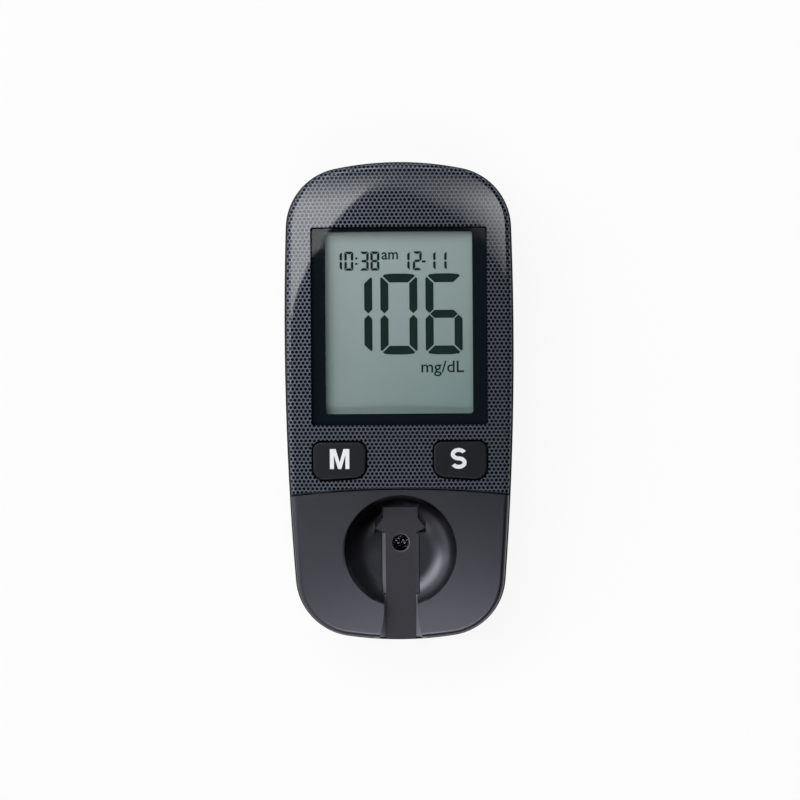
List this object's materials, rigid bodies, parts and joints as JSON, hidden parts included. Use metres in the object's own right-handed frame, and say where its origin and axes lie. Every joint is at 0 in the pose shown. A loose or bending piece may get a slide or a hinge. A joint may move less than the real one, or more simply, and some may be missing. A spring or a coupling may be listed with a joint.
{
  "type": "blood glucose meter",
  "caption": "Handheld blood glucose meter with a display window, keys, a scooped strip dish and slot, a lift-up optics cover and a battery door.",
  "frame": {"origin": "on the plane of the flat back, under the middle of the body", "axes": "+X across the meter, +Y up its length towards the display end, +Z out of the display"},
  "size_m": [0.0468, 0.0978, 0.0191],
  "materials": {
    "rear_shell": "fine matt moulded texture",
    "chassis": "matt moulded black",
    "face_skin": "clear gloss over a printed dot screen",
    "lens": "clear gloss",
    "mask": "black print behind the lens",
    "foam": "closed-cell foam",
    "frame": "plain moulded white",
    "display": "grey-green liquid crystal glass",
    "reflector": "satin foil",
    "zebra": "striped contact rubber",
    "board": "green solder mask",
    "chip": "moulded epoxy",
    "steel": "plain bright steel",
    "beeper": "moulded black",
    "smd": "ceramic chips",
    "key": "satin dark caps",
    "silicone": "translucent silicone",
    "cover": "satin metallic grey",
    "guide": "satin dark grey",
    "block": "matt black",
    "diode": "clear epoxy",
    "coin_cell": "nickel-plated can",
    "contact": "sprung leaf"
  },
  "bodies": {
    "housing": {"rear_housing": "rear_shell", "front_housing": "chassis", "face_plate": "face_skin", "display_lens": "lens", "window_mask": "mask", "display_gasket": "foam", "lcd_frame": "frame", "lcd_cell": "display", "lcd_reflector": "reflector", "zebra_strip": "zebra", "main_board": "board", "board_screws": "steel", "processor_chip": "chip", "quartz_crystal": "steel", "smd_parts": "smd", "beeper": "beeper", "usb_socket": "steel", "m_key_dome": "silicone", "s_key_dome": "silicone", "strip_guide": "guide", "optics_window": "lens", "optics_block": "block", "light_seal": "foam", "measuring_leds": "diode", "photodiode": "diode", "battery_cell": "coin_cell", "battery_contact_plus": "contact", "battery_contact_minus": "contact"},
    "button_m": {"button_m": "key"},
    "button_s": {"button_s": "key"},
    "optics_cover": {"optics_cover": "cover"},
    "battery_door": {"battery_door": "rear_shell"}
  },
  "joints": [
    {"name": "m_key_press", "type": "slide", "parent": "housing", "child": "button_m", "axis": [0, 0, -1], "range_m": [0, 0.0008], "stiffness_N_per_m": 600, "springref_m": -0.001, "deforming": ["m_key_dome"]},
    {"name": "s_key_press", "type": "slide", "parent": "housing", "child": "button_s", "axis": [0, 0, -1], "range_m": [0, 0.0008], "stiffness_N_per_m": 600, "springref_m": -0.001, "deforming": ["s_key_dome"]},
    {"name": "cover_hinge", "type": "hinge", "parent": "housing", "child": "optics_cover", "pos_m": [0, -0.0178, 0.01804], "axis": [-1, 0, 0], "range_deg": [0, 40]},
    {"name": "battery_door_hinge", "type": "hinge", "parent": "housing", "child": "battery_door", "pos_m": [0, 0.008, 0], "axis": [-1, 0, 0], "range_deg": [0, 60]}
  ]
}
